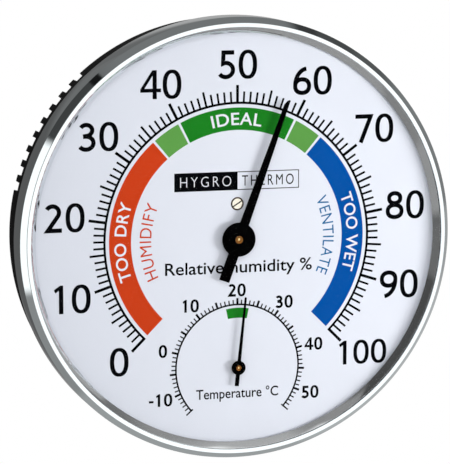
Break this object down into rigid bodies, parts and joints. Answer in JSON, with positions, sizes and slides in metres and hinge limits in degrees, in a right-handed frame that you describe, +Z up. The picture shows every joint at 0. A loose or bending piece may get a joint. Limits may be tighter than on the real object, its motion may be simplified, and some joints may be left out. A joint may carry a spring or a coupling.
{
  "type": "dial hygrometer",
  "caption": "Round wall-hung room-climate instrument: humidity dial with a small thermometer dial below, chromed ring, clear pane and vented black case.",
  "frame": {"origin": "on the dial's axis, in the plane of the wall that the case's rear rim rests against", "axes": "+Z up as it hangs, the dial faces -Y, +Y into the wall, +X to the right as the dial is read"},
  "size_m": [0.1318, 0.0264, 0.1318],
  "materials": {
    "case_plastic": "fine moulded satin black",
    "chrome": "mirror polished",
    "lens_clear": "clear, polished",
    "dial_white": "matt white print on sheet metal",
    "print_black": "printed ink",
    "print_white": "printed ink",
    "print_red": "printed ink",
    "print_green": "printed ink",
    "print_light_green": "printed ink",
    "print_blue": "printed ink",
    "pointer_black": "satin black paint",
    "brass": "turned",
    "nickel": "nickel plated, polished",
    "steel": "turned",
    "aluminium": "drawn",
    "humidity_strip": "rolled strip with a humidity-sensitive coat",
    "bimetal_strip": "rolled bimetal strip"
  },
  "bodies": {
    "case": {"case_shell": "case_plastic", "back_panel": "case_plastic", "bezel_ring": "chrome", "front_lens": "lens_clear", "dial_rehaut": "chrome", "dial_plate": "dial_white", "hygro_front_plate": "brass", "hygro_back_plate": "brass", "hygro_pillar_1": "brass", "hygro_pillar_2": "brass", "hygro_pillar_3": "brass", "hygro_pillar_screw_1": "steel", "hygro_pillar_screw_2": "steel", "hygro_pillar_screw_3": "steel", "movement_screw": "nickel", "hygro_front_bush": "brass", "thermo_housing": "aluminium", "thermo_bridge": "steel", "thermo_bridge_screw_1": "steel", "thermo_bridge_screw_2": "steel", "thermo_front_bush": "brass", "thermo_rear_bush": "brass", "thermo_anchor_pin": "steel", "bimetal_coil": "bimetal_strip"},
    "adjuster": {"adjusting_screw": "brass", "regulator_arm": "brass", "regulator_pin": "steel", "humidity_coil": "humidity_strip"},
    "hygro_pointer": {"hygro_collet": "brass", "hygro_spindle": "steel", "hygro_pointer": "pointer_black", "hygro_pointer_bush": "brass"},
    "thermo_pointer": {"thermo_collet": "brass", "thermo_spindle": "steel", "thermo_pointer": "pointer_black", "thermo_pointer_bush": "brass"}
  },
  "joints": [
    {"name": "calibration_adjust", "type": "hinge", "parent": "case", "child": "adjuster", "pos_m": [0, -0.0105, 0], "axis": [0, 1, 0], "range_deg": [-8, 8]},
    {"name": "humidity_reading", "type": "hinge", "parent": "adjuster", "child": "hygro_pointer", "pos_m": [0, -0.0243, 0], "axis": [0, 1, 0], "range_deg": [-155.3, 114.7], "stiffness_Nm_per_rad": 0.002, "deforming": ["humidity_coil"]},
    {"name": "temperature_reading", "type": "hinge", "parent": "case", "child": "thermo_pointer", "pos_m": [0, -0.0243, -0.0387], "axis": [0, 1, 0], "range_deg": [-137.25, 125.25], "stiffness_Nm_per_rad": 0.0002, "deforming": ["bimetal_coil"]}
  ]
}
